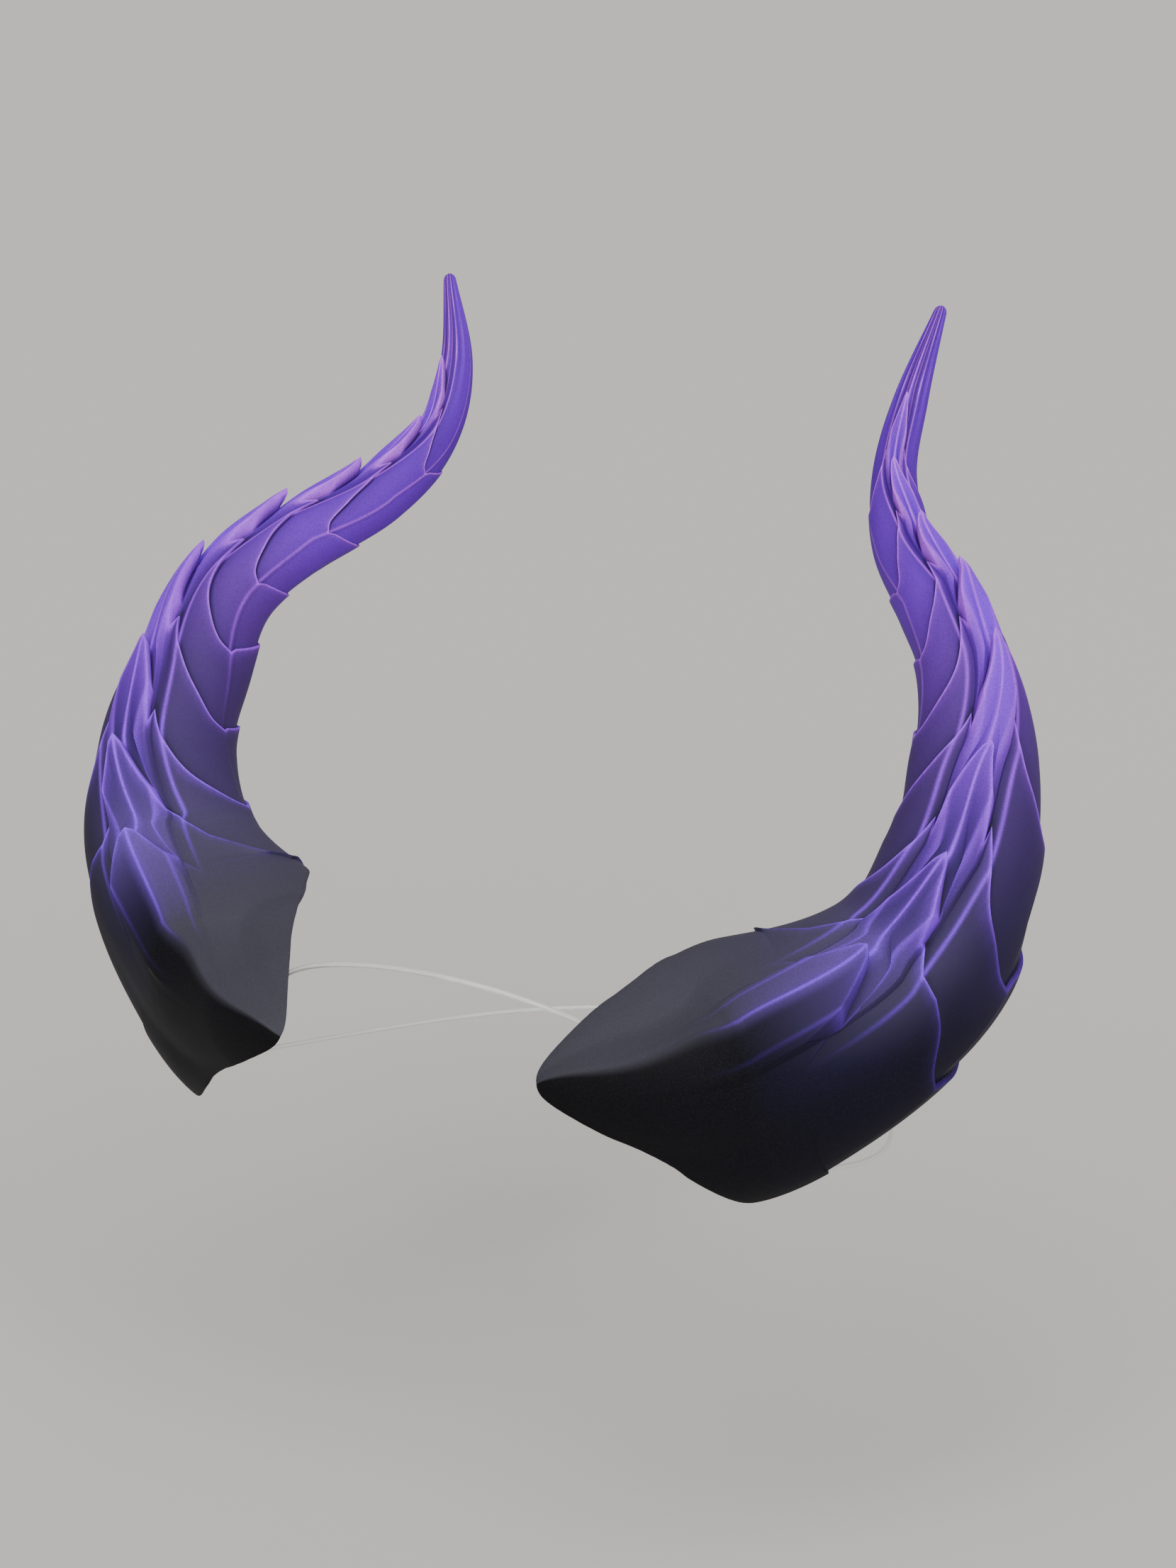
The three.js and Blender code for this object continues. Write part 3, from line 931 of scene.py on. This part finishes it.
def horn_paint():
    """Black at the seat to violet at the point, painted shade on the outer and lower sides and in slate
    in the recesses, lilac brushed on the edges.
    """
    material, nodes = new_material("horn_paint")
    spot = spot_on_horn(nodes)
    place = nodes.add("ShaderNodeTexCoord", {}, {}, "Object")
    grain = nodes.add("ShaderNodeTexNoise", {}, {"Vector": place, "Scale": GRAIN_SCALE, "Detail": 3})
    stroke = nodes.join(spot.arc * BRISTLES_ACROSS, spot.station * BRISTLES_ALONG, 0)
    bristles = nodes.add("ShaderNodeTexNoise", {}, {"Vector": stroke, "Scale": 1, "Detail": 4})
    patchy = PATCHY_LEAST + PATCHY_RANGE * bristles
    wave = nodes.math("COSINE", spot.angle * math.radians(FLUTES))
    front = nodes.smoothstep(spot.angle, PLAIN_BEYOND, FLUTED_WITHIN)
    flute = wave * within(nodes, spot, FLUTED) * front * patchy
    bare = bare_side(nodes, spot)
    slate = along_horn(nodes, spot, SLATE)
    lilac = along_horn(nodes, spot, LILAC)

    colour = ground_and_shade_coat(nodes, spot)
    # painted shade, in slate, in the recesses
    colour = nodes.mix(recess_shade(nodes, spot, flute), colour, slate)
    colour = nodes.mix(lilac_haze(nodes, spot, bare, patchy), colour, lilac)
    colour = nodes.mix(lilac_lines(nodes, spot, flute, bare, patchy), colour, lilac)
    colour = nodes.mix(SPECKLED * nodes.smoothstep(grain, SPECK_NONE, SPECK_FULL), colour, slate)
    relief = {"Strength": GRAIN_RELIEF, "Distance": GRAIN_DEPTH, "Height": grain}
    bump = nodes.add("ShaderNodeBump", {}, relief, "Normal")
    satin = {"Roughness": 0.6, "Specular IOR Level": 0.09}
    surface(nodes, {"Base Color": colour, "Normal": bump} | satin)
    return material


def clear_elastic():
    material, nodes = new_material("clear_elastic")
    # The elastic is clear; its share of milky white is a painted highlight, standing in for the bright
    # line that light draws along the cord.
    clear = {"Base Color": (0.96, 0.97, 0.97, 1), "IOR": 1.45, "Transmission Weight": 0.75}
    surface(nodes, clear | {"Roughness": 0.08})
    return material


def plain_backdrop():
    material, nodes = new_material("plain_backdrop")
    surface(nodes, {"Base Color": (*srgb(*BACKDROP), 1), "Roughness": 0.9})
    return material


# Pieces


def make_horns():
    turn = section_samples()
    rows = row_samples()
    section = new_object("horn_section", point_mesh("horn_section", turn))
    ladder = new_object("horn_rows", point_mesh("horn_rows", rows))
    tree = horn_tree()
    values = {
        "Section": section,
        "Rows": ladder,
        "Columns": len(turn["angle"]),
        "Row Count": len(rows["share"]),
        "Pinched At": PINCHED_AT,
        "Axis Steps": float(AXIS_STEPS),
        "Root From": float(ROOT_FROM),
        "Root To": float(ROOT_TO),
        "Root Twist": float(ROOT_TWIST),
        "Root Flank": float(ROOT_FLANK),
        "Sway": float(SWAY),
        "Sway Stations": Vector((SWAY_FROM, SWAY_MOST, SWAY_TO)),
        "Flutes": float(FLUTES),
        "Flute Depth": FLUTE_DEPTH,
        "Fluted From": float(FLUTED_FROM),
        "Fluted To": float(FLUTED_TO),
        "Fluted Within": float(FLUTED_WITHIN),
        "Plain Beyond": float(PLAIN_BEYOND),
        "Hollow Centre": HOLLOW_CENTRE,
        "Hollow Half": HOLLOW_HALF,
        "Seat Rim": SEAT_RIM,
        "Rim Passes": RIM_PASSES,
        "Core": SEAT_CORE,
        "Paint": horn_paint(),
    }
    for node, side in (("horn_left", 1.0), ("horn_right", -1.0)):
        seed = new_object(node + "_scaled", point_mesh(node + "_axis", axis_samples()))
        horn = grow(seed, tree, values | {"Side": side})
        if side > 0:
            horn.data.flip_normals()
        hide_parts(node)
        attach(horn, "root")
    discard(section)
    discard(ladder)


def on_hollow(direction, sunk=0):
    """The cord's middle on the hollow, seen from the hollow's centre along a direction."""
    off = ELASTIC_DIAMETER / 2 + ELASTIC_LIFT - ELASTIC_DIP * sunk
    stretched = Vector(d / (h + off) for d, h in zip(direction, HOLLOW_HALF))
    return HOLLOW_CENTRE + direction / stretched.length


def front_route():
    route = []
    for share in np.linspace(-1, 1, FRONT_STEPS + 1):
        direction = Vector((FRONT_HALF_SPAN * share, -FRONT_AHEAD, FRONT_UP)) * MM
        route.append(on_hollow(direction, abs(share) ** DIP_POWER))
    return route


def back_route():
    route = []
    for share in np.linspace(-1, 1, BACK_STEPS + 1):
        turn = math.radians(BACK_HALF_TURN * share)
        across = HOLLOW_HALF.x * math.sin(turn)
        back = HOLLOW_HALF.y * math.cos(turn)
        up = BACK_RISE * MM * (1 - math.cos(turn)) ** 2
        route.append(on_hollow(Vector((across, back, up))))
    return route


def route_curve(name, route):
    curve = bpy.data.curves.new(name, "CURVE")
    curve.dimensions = "3D"
    spline = curve.splines.new("POLY")
    spline.points.add(len(route) - 1)
    for point, place in zip(spline.points, route):
        point.co = (*place, 1)
    return curve


def make_elastic():
    tree = cord_tree()
    values = {"Radius": ELASTIC_DIAMETER / 2, "Sides": ELASTIC_SIDES, "Finish": clear_elastic()}
    for node, route in (("elastic_front", front_route()), ("elastic_back", back_route())):
        cord = grow(new_object(node + "_cord", route_curve(node + "_route", route)), tree, values)
        cord.data.shade_smooth()
        length = sum((b - a).length for a, b in zip(route, route[1:]))
        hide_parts(node)
        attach(cord, "root")


# Stage


def make_camera():
    data = bpy.data.cameras.new("view")
    data.sensor_width = SENSOR
    data.lens = SENSOR * FOCAL_PIXELS / IMAGE_HEIGHT
    data.clip_start = NEAREST
    camera = new_object("view", data)
    level = math.cos(VIEW_ELEVATION)
    across = level * math.sin(VIEW_AZIMUTH)
    ahead = -level * math.cos(VIEW_AZIMUTH)
    from_aim = Vector((across, ahead, math.sin(VIEW_ELEVATION)))
    camera.location = VIEW_AIM + from_aim * VIEW_DISTANCE
    camera.rotation_euler = from_aim.to_track_quat("Z", "Y").to_euler()
    bpy.context.scene.camera = camera


def make_floor():
    mesh = bpy.data.meshes.new("floor")
    far = FLOOR_HALF
    corners = [(-far, -far, FLOOR_Z), (far, -far, FLOOR_Z), (far, far, FLOOR_Z), (-far, far, FLOOR_Z)]
    mesh.from_pydata(corners, [], [(0, 1, 2, 3)])
    mesh.materials.append(plain_backdrop())
    new_object("floor", mesh)


def make_lights():
    world = bpy.data.worlds.new("studio")
    bpy.context.scene.world = world
    world.use_nodes = True
    background = world.node_tree.nodes["Background"]
    background.inputs["Color"].default_value = ROOM_LIGHT
    background.inputs["Strength"].default_value = ROOM_STRENGTH
    for lamp in LAMPS:
        data = bpy.data.lights.new(lamp.name, "SUN")
        data.angle = math.radians(lamp.spread)
        data.energy = lamp.strength
        light = new_object(lamp.name, data)
        light.location = lamp.toward
        light.rotation_euler = lamp.toward.to_track_quat("Z", "Y").to_euler()


make_camera()
make_elastic()
make_horns()
make_floor()
make_lights()
